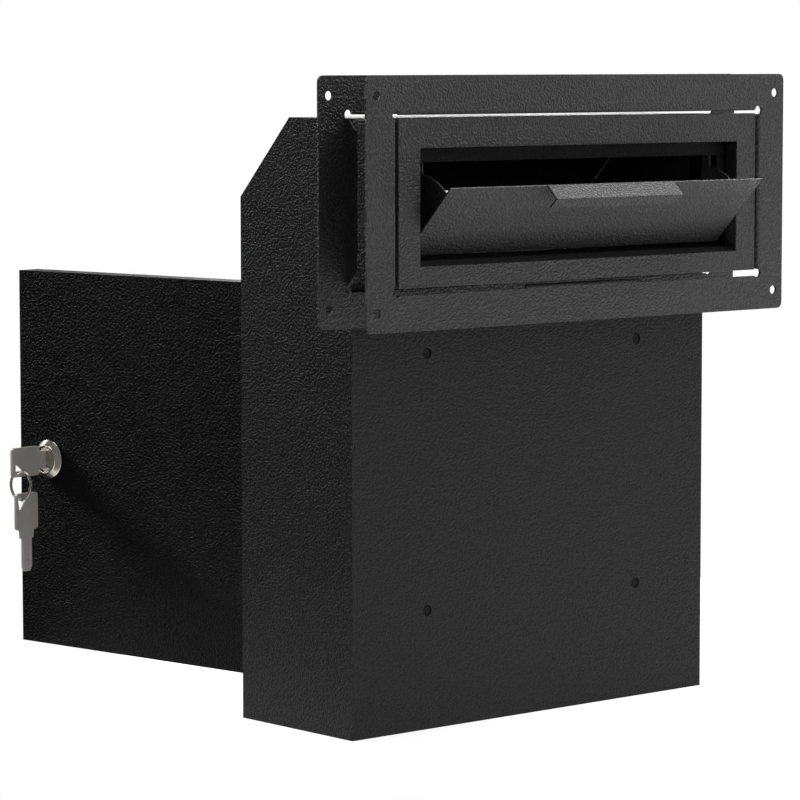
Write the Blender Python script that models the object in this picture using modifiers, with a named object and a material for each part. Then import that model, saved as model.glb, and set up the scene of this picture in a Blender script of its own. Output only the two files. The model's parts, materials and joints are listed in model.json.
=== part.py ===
"""Through-the-door parcel drop box in folded sheet steel.

Metres, +Z up.  X runs along the width, -Y is the street side, +Y the room side.
The origin is the centre of the underside of the box.  The mail flap rests on its
open stop and the rear door stands open, with a key in its lock.
"""
import math

import bmesh
import bpy
from mathutils import Matrix, Vector

# --- driving dimensions -------------------------------------------------------

GAP = 0.0003                 # air left between two pieces that touch
SHEET = 0.0012               # box, chute, flap and door steel
PLATE = 0.0015               # trim plate steel
BEND = 0.002                 # outer radius of a trim plate's folds
BEND_STEPS = 3

BOX_WIDTH = 0.306
BOX_DEPTH = 0.108
BOX_HEIGHT = 0.383
BACK_HEIGHT = 0.3326         # height of the rear wall below the sloping top
LEVEL_TOP = 0.0593           # depth of the level part of the top
MOUNT_PITCH_X = 0.1828       # bolt holes in the front wall
MOUNT_PITCH_Z = 0.1613
MOUNT_LOW = 0.0753
MOUNT_RADIUS = 0.0035
PASSAGE = (0.280, 0.291, 0.374)      # width, sill and head of the mail passage

CAP_WIDTH = 0.309            # folded face that closes the chute
CAP_LOW = 0.2813
CAP_HIGH = 0.3835
CAP_FACE = -0.0996
CAP_FLANGE = 0.012
SLOT_WIDTH = 0.274           # mail opening in that face
SLOT_LOW = 0.2941
SLOT_HIGH = 0.3654
RECESS = 0.0102              # depth of the opening's returned edges
SILL_RISE = 0.272            # rise of the sill for each metre inwards

PLATE_WIDTH = 0.3605         # trim plates that clamp the house door
PLATE_LOW = 0.2552
PLATE_HIGH = 0.409
PLATE_CORNER = 0.004
PLATE_PITCH = 0.0443         # front face to front face, for a 1 3/4 inch door
WINDOW_WIDTH = 0.3131
WINDOW_LOW = 0.2793
WINDOW_HIGH = 0.3853
TAB_DEPTH = 0.0097
TAB_RELIEF = 0.0023          # radius of the corner relief beside each tab
LOW_TAB_WIDTH = 0.100
SCREW_INSET = (0.00825, 0.0122)      # screw holes, from a side edge and from top or bottom
SCREW_RADIUS = 0.00295

FLAP_WIDTH = 0.270
FLAP_AXIS = (-0.08165, 0.31055)      # y and z of the flap's pivot
FLAP_FRONT = 0.0089          # pivot to the flap's outer face
FLAP_RISE = 0.0521           # pivot to the flap's top edge
FLAP_DROP = 0.006            # pivot to its bottom edge
FLAP_OPEN = math.radians(44.65)
LIP_WIDTH = 0.1094
LIP_DEPTH = 0.0109
LIP_RETURN = 0.008
CHEEK_X = 0.1247             # middle of each cheek, from the centre plane
CHEEK_RADIUS = 0.0392
HOOK_FRONT = -0.00575        # open stop of the cheek, from the pivot
HOOK_TOP = 0.0508
HOOK_WIDTH = 0.007
LOBE = 0.007                 # rounded metal around the pivot
BRACKET_X = 0.1279
STOP_FACE = -0.0889          # front of the frame that the flap shuts against
STOP_HALF = 0.1299           # half the clear width of that frame
STOP_HEAD = 0.3565
STOP_FOOT = 0.3095           # lower end of the frame's side legs
PIVOT_RADIUS = 0.0024

DOOR_WIDTH = 0.2436          # hinge axis to free edge
DOOR_LOW = 0.0208
DOOR_HIGH = 0.2758
DOOR_GAP = 0.0012            # between door and frame
DOOR_PAN = 0.018
JAMB = 0.0185
DOOR_OPEN = math.radians(97.67)
HINGE_X = -0.1218
HINGE_RISE = 0.0024          # hinge axis above the door's outer face
HINGE_HEIGHTS = (0.068, 0.2285)
LEAF_HEIGHT = 0.040
LEAF_WIDTH = 0.018
KNUCKLE_RADIUS = 0.002
KNUCKLE_BORE = 0.0014
PIN_RADIUS = 0.0011
RIVET_RADIUS = 0.0016
RIVET_X = 0.0105             # rivets, from the hinge axis
RIVET_Z = 0.012              # rivets, from the middle of a leaf

LOCK_X = 0.2154              # lock, from the hinge axis
LOCK_Z = 0.1481
LOCK_FRONT = 0.0026          # front rim, from the hinge axis plane
LOCK_RIM = 0.0099
LOCK_FLANGE = 0.0132
BARREL_RADIUS = 0.0093
BARREL_LENGTH = 0.0185
PLUG_FACE_RADIUS = 0.0082
PLUG_RADIUS = 0.0064
PLUG_END = -0.0225
CAM_LENGTH = 0.037
CAM_SHEET = 0.0018
CAM_SQUARE = 0.0035          # half the square that drives the cam
STUD_RADIUS = 0.0028

KEY_SHEET = 0.002
BOW_LENGTH = 0.025
BOW_WIDTH = 0.0198
BOW_START = 0.0075           # bow of the fitted key, from the hinge axis plane
SHOULDER_WIDTH = 0.0124
SHOULDER_LENGTH = 0.0058
BLADE_WIDTH = 0.008
BLADE_LENGTH = 0.0225
HOLE_INSET = 0.003           # end of the bow to its ring hole
RING_RADIUS = 0.0096
RING_WIRE = 0.0008
RING_U = 0.0168              # ring in the fitted key, along the bow and across it
RING_V = 0.0063
RING_AIR = 0.0004            # between the ring and the spare key that hangs on it
SPARE_SHIFT = 0.0048         # ring to the centre line of the spare key

FRONT_Y = -BOX_DEPTH / 2
BACK_Y = BOX_DEPTH / 2
BOX_HALF = BOX_WIDTH / 2

BLACK = ("black_powder_coat", (0.022, 0.022, 0.023), 0.55, 0.0)
NICKEL = ("satin_nickel", (0.62, 0.60, 0.56), 0.28, 1.0)
PLASTIC = ("black_plastic", (0.015, 0.015, 0.015), 0.6, 0.0)
ZINC = ("zinc_steel", (0.55, 0.56, 0.58), 0.38, 1.0)


# --- scene and helpers --------------------------------------------------------

def clear_scene():
    for thing in list(bpy.data.objects):
        bpy.data.objects.remove(thing, do_unlink=True)


def new_collection(name):
    made = bpy.data.collections.new(name)
    bpy.context.scene.collection.children.link(made)
    return made


def material(finish):
    name, colour, roughness, metallic = finish
    made = bpy.data.materials.get(name)
    if made is None:
        made = bpy.data.materials.new(name)
        made.use_nodes = True
        shader = made.node_tree.nodes["Principled BSDF"]
        shader.inputs["Base Color"].default_value = (*colour, 1.0)
        shader.inputs["Roughness"].default_value = roughness
        shader.inputs["Metallic"].default_value = metallic
    return made


def add_piece(name, mesh, finish, parent=None, at=(0, 0, 0)):
    """Link one named piece; `at` is its origin, in its parent's frame."""
    piece = bpy.data.objects.new(name, mesh)
    mesh.name = name
    shade(mesh)
    mesh.materials.append(material(finish))
    parts.objects.link(piece)
    piece.parent = parent
    piece.location = at
    return piece


def add_axis(name, at, turn=(0, 0, 0), parent=None):
    """An empty on a joint's axis; the pieces of the moving body are parented to it."""
    axis = bpy.data.objects.new(name, None)
    parts.objects.link(axis)
    axis.empty_display_size = 0.02
    axis.parent = parent
    axis.location = at
    axis.rotation_euler = turn
    return axis


def shade(mesh):
    """Smooth shading, kept sharp at every real corner."""
    if mesh.polygons:
        mesh.shade_smooth()
        mesh.set_sharp_from_angle(angle=math.radians(35))


def as_mesh(bm):
    mesh = bpy.data.meshes.new("mesh")
    bm.to_mesh(mesh)
    bm.free()
    return mesh


def cuboid(low, high):
    """A box between two opposite corners."""
    bm = bmesh.new()
    bmesh.ops.create_cube(bm, size=1.0)
    low, high = Vector(low), Vector(high)
    place = Matrix.Translation((low + high) / 2) @ Matrix.Diagonal((*(high - low), 1.0))
    bmesh.ops.transform(bm, matrix=place, verts=bm.verts)
    return as_mesh(bm)


def cylinder(radius, start, end, sides=16):
    """A closed cylinder between two points."""
    start, end = Vector(start), Vector(end)
    bm = bmesh.new()
    bmesh.ops.create_cone(bm, cap_ends=True, segments=sides, radius1=radius,
                          radius2=radius, depth=(end - start).length)
    turn = (end - start).to_track_quat("Z", "Y").to_matrix().to_4x4()
    bmesh.ops.transform(bm, matrix=Matrix.Translation((start + end) / 2) @ turn,
                        verts=bm.verts)
    return as_mesh(bm)


def arc(centre, radius, start, end, steps):
    """Points on an arc, angles in degrees, both ends included."""
    angles = [math.radians(start + (end - start) * i / steps) for i in range(steps + 1)]
    return [(centre[0] + radius * math.cos(a), centre[1] + radius * math.sin(a))
            for a in angles]


def rounded_rectangle(x0, x1, y0, y1, radius, steps=4):
    return (arc((x1 - radius, y1 - radius), radius, 0, 90, steps)
            + arc((x0 + radius, y1 - radius), radius, 90, 180, steps)
            + arc((x0 + radius, y0 + radius), radius, 180, 270, steps)
            + arc((x1 - radius, y0 + radius), radius, 270, 360, steps))


def circle(centre, radius, sides):
    return arc(centre, radius, 0, 360, sides)[:-1]


def rounded_polygon(corners, radius, steps=2):
    """A polygon whose corners are cut back by `radius` and joined by a curve."""
    points = []
    for i, corner in enumerate(corners):
        here = Vector(corner)
        before = (Vector(corners[i - 1]) - here).normalized() * radius
        after = (Vector(corners[(i + 1) % len(corners)]) - here).normalized() * radius
        for k in range(steps + 1):
            t = k / steps
            points.append(tuple(here + before * (1 - t) ** 2 + after * t ** 2))
    return points


def strip(path, thickness):
    """Outline of a folded sheet seen end on: `path` and a copy of it to its left."""
    points = [Vector(p) for p in path]
    shifted = []
    for i, point in enumerate(points):
        ways = []
        if i > 0:
            ways.append((point - points[i - 1]).normalized())
        if i < len(points) - 1:
            ways.append((points[i + 1] - point).normalized())
        normals = [Vector((-w.y, w.x)) for w in ways]
        middle = sum(normals, Vector((0, 0))).normalized()
        shifted.append(point + middle * thickness / middle.dot(normals[0]))
    return [tuple(p) for p in points + shifted[::-1]]


PLANES = {
    "XY": Matrix.Identity(4),
    "XZ": Matrix.Rotation(math.pi / 2, 4, "X"),
    "YZ": Matrix.Rotation(math.pi / 2, 4, "Z") @ Matrix.Rotation(math.pi / 2, 4, "X"),
}


def flat_piece(loops, thickness, plane):
    """A flat outline with its holes, from a filled 2D curve, `thickness` through."""
    curve = bpy.data.curves.new("outline", "CURVE")
    curve.dimensions = "2D"
    curve.fill_mode = "BOTH"
    curve.extrude = thickness / 2
    for loop in loops:
        spline = curve.splines.new("POLY")
        spline.points.add(len(loop) - 1)
        for point, (x, y) in zip(spline.points, loop):
            point.co = (x, y, 0, 1)
        spline.use_cyclic_u = True
    guide = bpy.data.objects.new("outline", curve)
    parts.objects.link(guide)
    bpy.context.view_layer.update()
    graph = bpy.context.evaluated_depsgraph_get()
    mesh = bpy.data.meshes.new_from_object(guide.evaluated_get(graph))
    bpy.data.objects.remove(guide, do_unlink=True)
    bpy.data.curves.remove(curve)
    bm = bmesh.new()
    bm.from_mesh(mesh)
    bmesh.ops.remove_doubles(bm, verts=bm.verts, dist=0.000005)
    bmesh.ops.recalc_face_normals(bm, faces=bm.faces)
    bmesh.ops.transform(bm, matrix=PLANES[plane], verts=bm.verts)
    bm.to_mesh(mesh)
    bm.free()
    return mesh


def joined_sections(sections, capped=False):
    """Quads between matching four-cornered sections, and a face on the last if capped."""
    bm = bmesh.new()
    rows = [[bm.verts.new(point) for point in section] for section in sections]
    for row, following in zip(rows, rows[1:]):
        for i in range(4):
            j = (i + 1) % 4
            bm.faces.new((row[i], row[j], following[j], following[i]))
    if capped:
        bm.faces.new(rows[-1])
    return as_mesh(bm)


def section(x0, x1, y, z0, z1):
    """Four corners of an upright rectangle, anticlockwise seen from the street."""
    return [(x0, y, z0), (x1, y, z0), (x1, y, z1), (x0, y, z1)]


def thicken(piece, thickness):
    """Give an open surface its sheet thickness, behind the faces' normals."""
    solid = piece.modifiers.new("sheet", "SOLIDIFY")
    solid.solidify_mode = "NON_MANIFOLD"
    solid.nonmanifold_thickness_mode = "CONSTRAINTS"
    solid.nonmanifold_merge_threshold = 0.00001
    solid.thickness = thickness
    solid.offset = -1


def boolean(piece, mesh, operation):
    """Cut a mesh out of a piece, or join it on; `mesh` is in the piece's own frame."""
    tool = bpy.data.objects.new(f"{piece.name}_{operation.lower()}", mesh)
    cutters.objects.link(tool)
    tool.parent = piece
    tool.hide_render = True
    tool.display_type = "WIRE"
    step = piece.modifiers.new(operation.lower(), "BOOLEAN")
    step.operation = operation
    step.solver = "EXACT"
    step.object = tool


def cut(piece, mesh):
    boolean(piece, mesh, "DIFFERENCE")


def join(piece, mesh):
    boolean(piece, mesh, "UNION")


def turned(name, profile, finish, steps, parent=None, at=(0, 0, 0), turn=(0, 0, 0),
           closed=False):
    """A turned piece: (radius, height) points, from the top down the outer side."""
    mesh = bpy.data.meshes.new(name)
    links = [(i, i + 1) for i in range(len(profile) - 1)]
    if closed:
        links.append((len(profile) - 1, 0))
    mesh.from_pydata([(r, 0, z) for r, z in profile], links, [])
    piece = add_piece(name, mesh, finish, parent, at)
    piece.rotation_euler = turn
    screw = piece.modifiers.new("turning", "SCREW")
    screw.axis = "Z"
    screw.angle = 2 * math.pi
    screw.steps = steps
    screw.render_steps = steps
    screw.use_merge_vertices = True
    screw.merge_threshold = 0.00001
    return piece


# --- box ----------------------------------------------------------------------

def box_wrap():
    """Front and both sides, folded from one sheet; the sides slope at the top rear."""
    bm = bmesh.new()
    bmesh.ops.create_cube(bm, size=1.0)
    place = (Matrix.Translation((0, 0, BOX_HEIGHT / 2))
             @ Matrix.Diagonal((BOX_WIDTH, BOX_DEPTH, BOX_HEIGHT, 1.0)))
    bmesh.ops.transform(bm, matrix=place, verts=bm.verts)
    open_sides = [f for f in bm.faces if abs(f.normal.z) > 0.5 or f.normal.y > 0.5]
    bmesh.ops.delete(bm, geom=open_sides, context="FACES_ONLY")
    slope = Vector((0, BOX_HEIGHT - BACK_HEIGHT, BOX_DEPTH - LEVEL_TOP))
    bmesh.ops.bisect_plane(bm, geom=bm.verts[:] + bm.edges[:] + bm.faces[:],
                           plane_co=(0, BACK_Y, BACK_HEIGHT), plane_no=slope,
                           clear_outer=True)
    wrap = add_piece("box_wrap", as_mesh(bm), BLACK)
    thicken(wrap, SHEET)
    width, low, high = PASSAGE
    cut(wrap, cuboid((-width / 2, FRONT_Y - 0.01, low), (width / 2, FRONT_Y + 0.01, high)))
    for side in (-1, 1):
        for z in (MOUNT_LOW, MOUNT_LOW + MOUNT_PITCH_Z):
            x = side * MOUNT_PITCH_X / 2
            cut(wrap, cylinder(MOUNT_RADIUS, (x, FRONT_Y - 0.01, z), (x, FRONT_Y + 0.01, z)))


def hole_plugs():
    """Plastic plugs pushed into the bolt holes from inside, until the box is mounted."""
    boss = SHEET + GAP - 0.0005
    profile = [(0, boss), (MOUNT_RADIUS - GAP, boss), (MOUNT_RADIUS - GAP, 0), (0.0058, 0),
               (0.0058, -0.0010), (0.0052, -0.0015), (0, -0.0015)]
    number = 1
    for z in (MOUNT_LOW, MOUNT_LOW + MOUNT_PITCH_Z):
        for side in (-1, 1):
            turned(f"hole_plug_{number}", profile, PLASTIC, 16,
                   at=(side * MOUNT_PITCH_X / 2, FRONT_Y + SHEET + GAP, z),
                   turn=(math.pi / 2, 0, 0))
            number += 1


def bottom_panel():
    inner = BOX_HALF - SHEET - GAP
    mesh = cuboid((-inner, FRONT_Y + SHEET + GAP, 0), (inner, BACK_Y - SHEET - GAP, SHEET))
    add_piece("bottom_panel", mesh, BLACK)


def top_cover():
    """Level top and rear slope, one bend, set between the side walls."""
    front = FRONT_Y + SHEET + GAP
    path = [(BACK_Y - GAP, BACK_HEIGHT + GAP), (FRONT_Y + LEVEL_TOP, BOX_HEIGHT),
            (front, BOX_HEIGHT)]
    inner = BOX_HALF - SHEET - GAP
    add_piece("top_cover", flat_piece([strip(path, SHEET)], 2 * inner, "YZ"), BLACK)


def rear_frame():
    """Rear wall around the door opening, with the opening's edges turned in."""
    inner = BOX_HALF - SHEET - GAP
    x0 = HINGE_X - DOOR_GAP / 2
    x1 = HINGE_X + DOOR_WIDTH + DOOR_GAP
    z0, z1 = DOOR_LOW - DOOR_GAP, DOOR_HIGH + DOOR_GAP
    top = BACK_HEIGHT - 0.0022
    rows = [section(-inner, inner, BACK_Y, 0, top), section(x0, x1, BACK_Y, z0, z1),
            section(x0, x1, BACK_Y - JAMB, z0, z1)]
    frame = add_piece("rear_frame", joined_sections([row[::-1] for row in rows]), BLACK)
    thicken(frame, SHEET)
    cut_rivet_holes(frame, -1, (HINGE_X, BACK_Y, 0))


def cut_rivet_holes(piece, side, base):
    """Four rivet holes beside the hinge axis; `base` is the axis in the piece's frame."""
    for middle in HINGE_HEIGHTS:
        for shift in (-RIVET_Z, RIVET_Z):
            x = base[0] + side * RIVET_X
            z = base[2] + middle + shift
            cut(piece, cylinder(RIVET_RADIUS + GAP, (x, base[1] - 0.005, z),
                                (x, base[1] + 0.005, z), 12))


def door_stops():
    """Two tabs on the inner end of the frame's turned edge, behind the free edge."""
    edge = HINGE_X + DOOR_WIDTH + DOOR_GAP
    depth = BACK_Y - JAMB - GAP
    for name, z in (("lower_door_stop", 0.05), ("upper_door_stop", 0.2466)):
        mesh = cuboid((edge - 0.008, depth - SHEET, z - 0.01), (edge + SHEET, depth, z + 0.01))
        add_piece(name, mesh, BLACK)


# --- chute --------------------------------------------------------------------

def chute_sleeve():
    """Rectangular tube from the box to the folded face."""
    half = CAP_WIDTH / 2 - SHEET - GAP
    low = CAP_LOW + SHEET + GAP
    high = CAP_HIGH - SHEET - GAP
    front = CAP_FACE + SHEET + GAP
    rows = [section(-half, half, y, low, high) for y in (FRONT_Y - GAP, front)]
    sleeve = add_piece("chute_sleeve", joined_sections(rows), BLACK)
    thicken(sleeve, SHEET)


def chute_face():
    """Face of the chute: flanges over the sleeve, edges of the mail opening turned in."""
    half, slot = CAP_WIDTH / 2, SLOT_WIDTH / 2
    inside = section(-slot, slot, CAP_FACE + RECESS, SLOT_LOW + RECESS * SILL_RISE, SLOT_HIGH)
    rows = [section(-half, half, CAP_FACE + CAP_FLANGE, CAP_LOW, CAP_HIGH),
            section(-half, half, CAP_FACE, CAP_LOW, CAP_HIGH),
            section(-slot, slot, CAP_FACE, SLOT_LOW, SLOT_HIGH), inside]
    face = add_piece("chute_face", joined_sections(rows), BLACK)
    thicken(face, SHEET)


def flap_stop_frame():
    """Flat arch behind the opening, which the flap shuts against and its hooks catch."""
    half = CAP_WIDTH / 2 - 2 * (SHEET + GAP)
    high = CAP_HIGH - 2 * (SHEET + GAP)
    outline = [(-half, STOP_FOOT), (-STOP_HALF, STOP_FOOT), (-STOP_HALF, STOP_HEAD),
               (STOP_HALF, STOP_HEAD), (STOP_HALF, STOP_FOOT), (half, STOP_FOOT),
               (half, high), (-half, high)]
    add_piece("flap_stop_frame", flat_piece([outline], SHEET, "XZ"), BLACK,
              at=(0, STOP_FACE + SHEET / 2, 0))


def sill_deck():
    """Floor under the flap: carries on the slope of the sill, then level, then down."""
    start = CAP_FACE + RECESS + GAP
    level = -0.080
    rear = -0.066
    floor = CAP_LOW + 2 * (SHEET + GAP)
    rise = SLOT_LOW + SILL_RISE * (start - CAP_FACE)
    crest = SLOT_LOW + SILL_RISE * (level - CAP_FACE)
    path = [(rear, floor), (rear, crest), (level, crest), (start, rise)]
    half = CAP_WIDTH / 2 - 2 * (SHEET + GAP)
    add_piece("sill_deck", flat_piece([strip(path, SHEET)], 2 * half, "YZ"), BLACK)
    return crest


def hinge_brackets(deck):
    """Upright ears with a foot on the deck, one outside each cheek of the flap."""
    y, z = FLAP_AXIS
    foot = deck + GAP
    outline = [(y + 0.0135, foot), (y + 0.0135, z)]
    outline += arc((y + 0.0065, z), LOBE, 0, 90, 4)
    outline += arc((y, z), LOBE, 90, 215, 7)
    outline += [(y + 0.0032, foot + 0.0045), (y + 0.0032, foot)]
    hole = circle((y, z), PIVOT_RADIUS + GAP, 12)
    for name, side in (("left_hinge_bracket", -1), ("right_hinge_bracket", 1)):
        bracket = add_piece(name, flat_piece([outline, hole], SHEET, "YZ"), BLACK,
                            at=(side * BRACKET_X, 0, 0))
        reach = sorted((side * 0.0001, side * 0.012))
        join(bracket, cuboid((reach[0], y + 0.0036, foot), (reach[1], y + 0.0131, foot + SHEET)))


def pivot_pins():
    """Headed pins through bracket and cheek."""
    outer = BRACKET_X + SHEET / 2 + GAP
    inner = CHEEK_X - SHEET / 2 - GAP
    length = outer - inner
    head, neck = 0.0042, PIVOT_RADIUS
    profile = [(0, 0.0014), (0.0022, 0.0013), (0.0036, 0.0008), (head, 0), (neck, 0),
               (neck, -length), (head, -length), (head, -length - 0.001),
               (0, -length - 0.001)]
    for name, side in (("left_pivot_pin", -1), ("right_pivot_pin", 1)):
        turned(name, profile, ZINC, 16, at=(side * outer, *FLAP_AXIS),
               turn=(0, side * math.pi / 2, 0))


# --- flap ---------------------------------------------------------------------

def flap_panel(axis):
    """Shutter with a finger lip: its rear face and the top of the lip are the surface."""
    back = -FLAP_FRONT + SHEET
    front = back - LIP_DEPTH - SHEET
    half, lip, notch = FLAP_WIDTH / 2, LIP_WIDTH / 2, LIP_WIDTH / 2 + 0.0006
    shoulder = FLAP_RISE - 0.0016        # foot of the slits beside the lip
    bm = bmesh.new()
    columns = (-half, -notch, -lip, lip, notch, half)
    rows = [[bm.verts.new((x, back, z)) for x in columns]
            for z in (-FLAP_DROP, shoulder, FLAP_RISE)]
    for low, high in zip(rows, rows[1:]):
        for i in range(5):
            if low is rows[1] and i in (1, 3):
                continue
            bm.faces.new((low[i + 1], low[i], high[i], high[i + 1]))
    row = rows[2][2:4]
    for y, z in ((front, FLAP_RISE), (front, FLAP_RISE - LIP_RETURN)):
        following = [bm.verts.new((x, y, z)) for x in (-lip, lip)]
        bm.faces.new((row[1], row[0], following[0], following[1]))
        row = following
    panel = add_piece("flap_panel", as_mesh(bm), BLACK, axis)
    thicken(panel, SHEET)


def from_rest(y, z):
    """A point given about the open flap's pivot, turned back into the shut frame."""
    c, s = math.cos(FLAP_OPEN), math.sin(FLAP_OPEN)
    return (y * c + z * s, -y * s + z * c)


def flap_cheeks(axis):
    """Sector plates that close the ends of the open flap, each with its stop hook."""
    face = -FLAP_FRONT + SHEET + GAP
    top = math.sqrt(CHEEK_RADIUS ** 2 - face ** 2)
    first = math.degrees(math.atan2(top, face))
    rise = math.sqrt(CHEEK_RADIUS ** 2 - HOOK_FRONT ** 2)
    last = math.degrees(math.atan2(rise, HOOK_FRONT)) - math.degrees(FLAP_OPEN)
    outline = [(face, -0.0045), (face, top)]
    outline += arc((0, 0), CHEEK_RADIUS, first, last, 12)[1:]
    outline += [from_rest(HOOK_FRONT, HOOK_TOP), from_rest(HOOK_FRONT + HOOK_WIDTH, HOOK_TOP),
                from_rest(HOOK_FRONT + HOOK_WIDTH, 0.036)]
    outline += arc((0, 0), LOBE, 10, -110, 6)
    hole = circle((0, 0), PIVOT_RADIUS + GAP, 12)
    for name, side in (("left_flap_cheek", -1), ("right_flap_cheek", 1)):
        add_piece(name, flat_piece([outline, hole], SHEET, "YZ"), BLACK, axis,
                  (side * CHEEK_X, 0, 0))


# --- trim plates --------------------------------------------------------------

def trim_plate(name, face_y, way):
    """Plate with a window; tabs along the window's edges are bent to y = way * depth.

    `face_y` is the face that the tabs are bent away from.
    """
    wide, low, high = WINDOW_WIDTH / 2, WINDOW_LOW, WINDOW_HIGH
    reach = math.hypot(TAB_RELIEF, BEND)
    spread = math.degrees(math.atan2(BEND, TAB_RELIEF))
    bm = bmesh.new()

    def loop(points):
        verts = [bm.verts.new((x, 0, z)) for x, z in points]
        return verts, [bm.edges.new((a, b)) for a, b in zip(verts, verts[1:] + verts[:1])]

    edges = loop(rounded_rectangle(-PLATE_WIDTH / 2, PLATE_WIDTH / 2, PLATE_LOW, PLATE_HIGH,
                                   PLATE_CORNER))[1]
    for x in (-1, 1):
        for z in (PLATE_LOW + SCREW_INSET[1], PLATE_HIGH - SCREW_INSET[1]):
            centre = (x * (PLATE_WIDTH / 2 - SCREW_INSET[0]), z)
            edges += loop(circle(centre, SCREW_RADIUS, 14))[1]
    window = []
    corners = ((wide, high, 0), (-wide, high, 90), (-wide, low, 180), (wide, low, 270))
    for x, z, turn in corners:
        window += arc((x, z), reach, turn - 90 + spread, turn + 180 - spread, 8)
    verts, rim = loop(window)
    tab_ends = [(verts[8], verts[9]), (verts[17], verts[18]), (verts[35], verts[0])]
    low_edge = rim[26]
    low_verts = [bm.verts.new((x, 0, low - BEND)) for x in (-LOW_TAB_WIDTH / 2,
                                                            LOW_TAB_WIDTH / 2)]
    bm.edges.remove(low_edge)
    chain = [verts[26]] + low_verts + [verts[27]]
    rim = [e for e in rim if e.is_valid]
    rim += [bm.edges.new((a, b)) for a, b in zip(chain, chain[1:])]
    tab_ends.append(tuple(low_verts))
    bmesh.ops.triangle_fill(bm, edges=edges + rim, use_beauty=True, normal=(0, -1, 0))

    middle = Vector((0, 0, (low + high) / 2))
    for first, second in tab_ends:
        along = (second.co - first.co).normalized()
        out = Vector((0, 1, 0)).cross(along)
        if out.dot(first.co - middle) < 0:
            out.negate()
        row = [first, second]
        bends = [(-BEND * (1 - math.cos(a)), BEND * math.sin(a))
                 for a in (math.pi / 2 * k / BEND_STEPS for k in range(1, BEND_STEPS + 1))]
        for inset, depth in [(b[1], -b[0]) for b in bends] + [(BEND, TAB_DEPTH)]:
            draw = max(0.0, depth - BEND)
            base = [first.co, second.co]
            ends = [base[k] - out * inset + Vector((0, way * depth, 0)) for k in (0, 1)]
            ends[0] += along * draw
            ends[1] -= along * draw
            following = [bm.verts.new(p) for p in ends]
            bm.faces.new((row[0], row[1], following[1], following[0]))
            row = following
    bmesh.ops.recalc_face_normals(bm, faces=bm.faces)
    flat = max(bm.faces, key=lambda f: f.calc_area())
    if flat.normal.y * way > 0:
        bmesh.ops.reverse_faces(bm, faces=bm.faces)
    plate = add_piece(name, as_mesh(bm), BLACK, at=(0, face_y, 0))
    solid = plate.modifiers.new("sheet", "SOLIDIFY")
    solid.thickness = PLATE
    solid.offset = -1
    solid.use_even_offset = True


# --- rear door ----------------------------------------------------------------

def door_panel(axis):
    """Shallow pan, its edges folded towards the box."""
    x0, x1 = DOOR_GAP / 2, DOOR_WIDTH
    rows = [section(x0, x1, y, DOOR_LOW, DOOR_HIGH)[::-1]
            for y in (-HINGE_RISE - DOOR_PAN, -HINGE_RISE)]
    panel = add_piece("door_panel", joined_sections(rows, capped=True), BLACK, axis)
    thicken(panel, SHEET)
    cut(panel, cylinder(BARREL_RADIUS + GAP, (LOCK_X, -0.01, LOCK_Z), (LOCK_X, 0.01, LOCK_Z), 24))
    cut_rivet_holes(panel, 1, (0, -HINGE_RISE, 0))


def hinge_leaf(name, side, knuckles, middle, parent, base):
    """One leaf: a plate beside the axis, and the knuckles that it carries.

    `side` is +1 for the door leaf and -1 for the frame leaf, `knuckles` are the
    spans of height that this leaf fills, and `base` is the axis in the parent's frame.
    """
    under = -HINGE_RISE + GAP
    span = sorted((side * (KNUCKLE_RADIUS + 0.0004), side * LEAF_WIDTH))
    half = LEAF_HEIGHT / 2
    leaf = add_piece(name, cuboid((span[0], under, -half), (span[1], under + SHEET, half)),
                     ZINC, parent, (base[0], base[1], middle))
    for low, high in knuckles:
        bridge = sorted((0.0, side * (KNUCKLE_RADIUS + 0.0009)))
        join(leaf, cuboid((bridge[0], under + 0.0001, low + 0.0001),
                          (bridge[1], under + SHEET - 0.0001, high - 0.0001)))
        join(leaf, cylinder(KNUCKLE_RADIUS, (0, 0, low), (0, 0, high), 20))
    cut(leaf, cylinder(KNUCKLE_BORE, (0, 0, -half - 0.01), (0, 0, half + 0.01), 14))
    for shift in (-RIVET_Z, RIVET_Z):
        x = side * RIVET_X
        cut(leaf, cylinder(RIVET_RADIUS + GAP, (x, -0.01, shift), (x, 0.01, shift), 12))


def door_hinges(axis):
    """Two butt hinges, each a frame leaf, a door leaf and a pin."""
    third = LEAF_HEIGHT / 6
    spans = {"frame": ((-3 * third, -third - GAP / 2), (third + GAP / 2, 3 * third)),
             "door": ((-third + GAP / 2, third - GAP / 2),)}
    head, length = 0.0019, LEAF_HEIGHT / 2 + GAP
    profile = [(0, length + 0.0011), (0.0011, length + 0.001), (head, length + 0.0004),
               (head, length), (PIN_RADIUS, length), (PIN_RADIUS, -length - 0.0012),
               (0.0007, -length - 0.0018), (0, -length - 0.0018)]
    for label, middle in zip(("lower", "upper"), HINGE_HEIGHTS):
        hinge_leaf(f"{label}_frame_leaf", -1, spans["frame"], middle, None,
                   (HINGE_X, BACK_Y + HINGE_RISE))
        hinge_leaf(f"{label}_door_leaf", 1, spans["door"], middle, axis, (0, 0))
        turned(f"{label}_hinge_pin", profile, ZINC, 14,
               at=(HINGE_X, BACK_Y + HINGE_RISE, middle))


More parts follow.
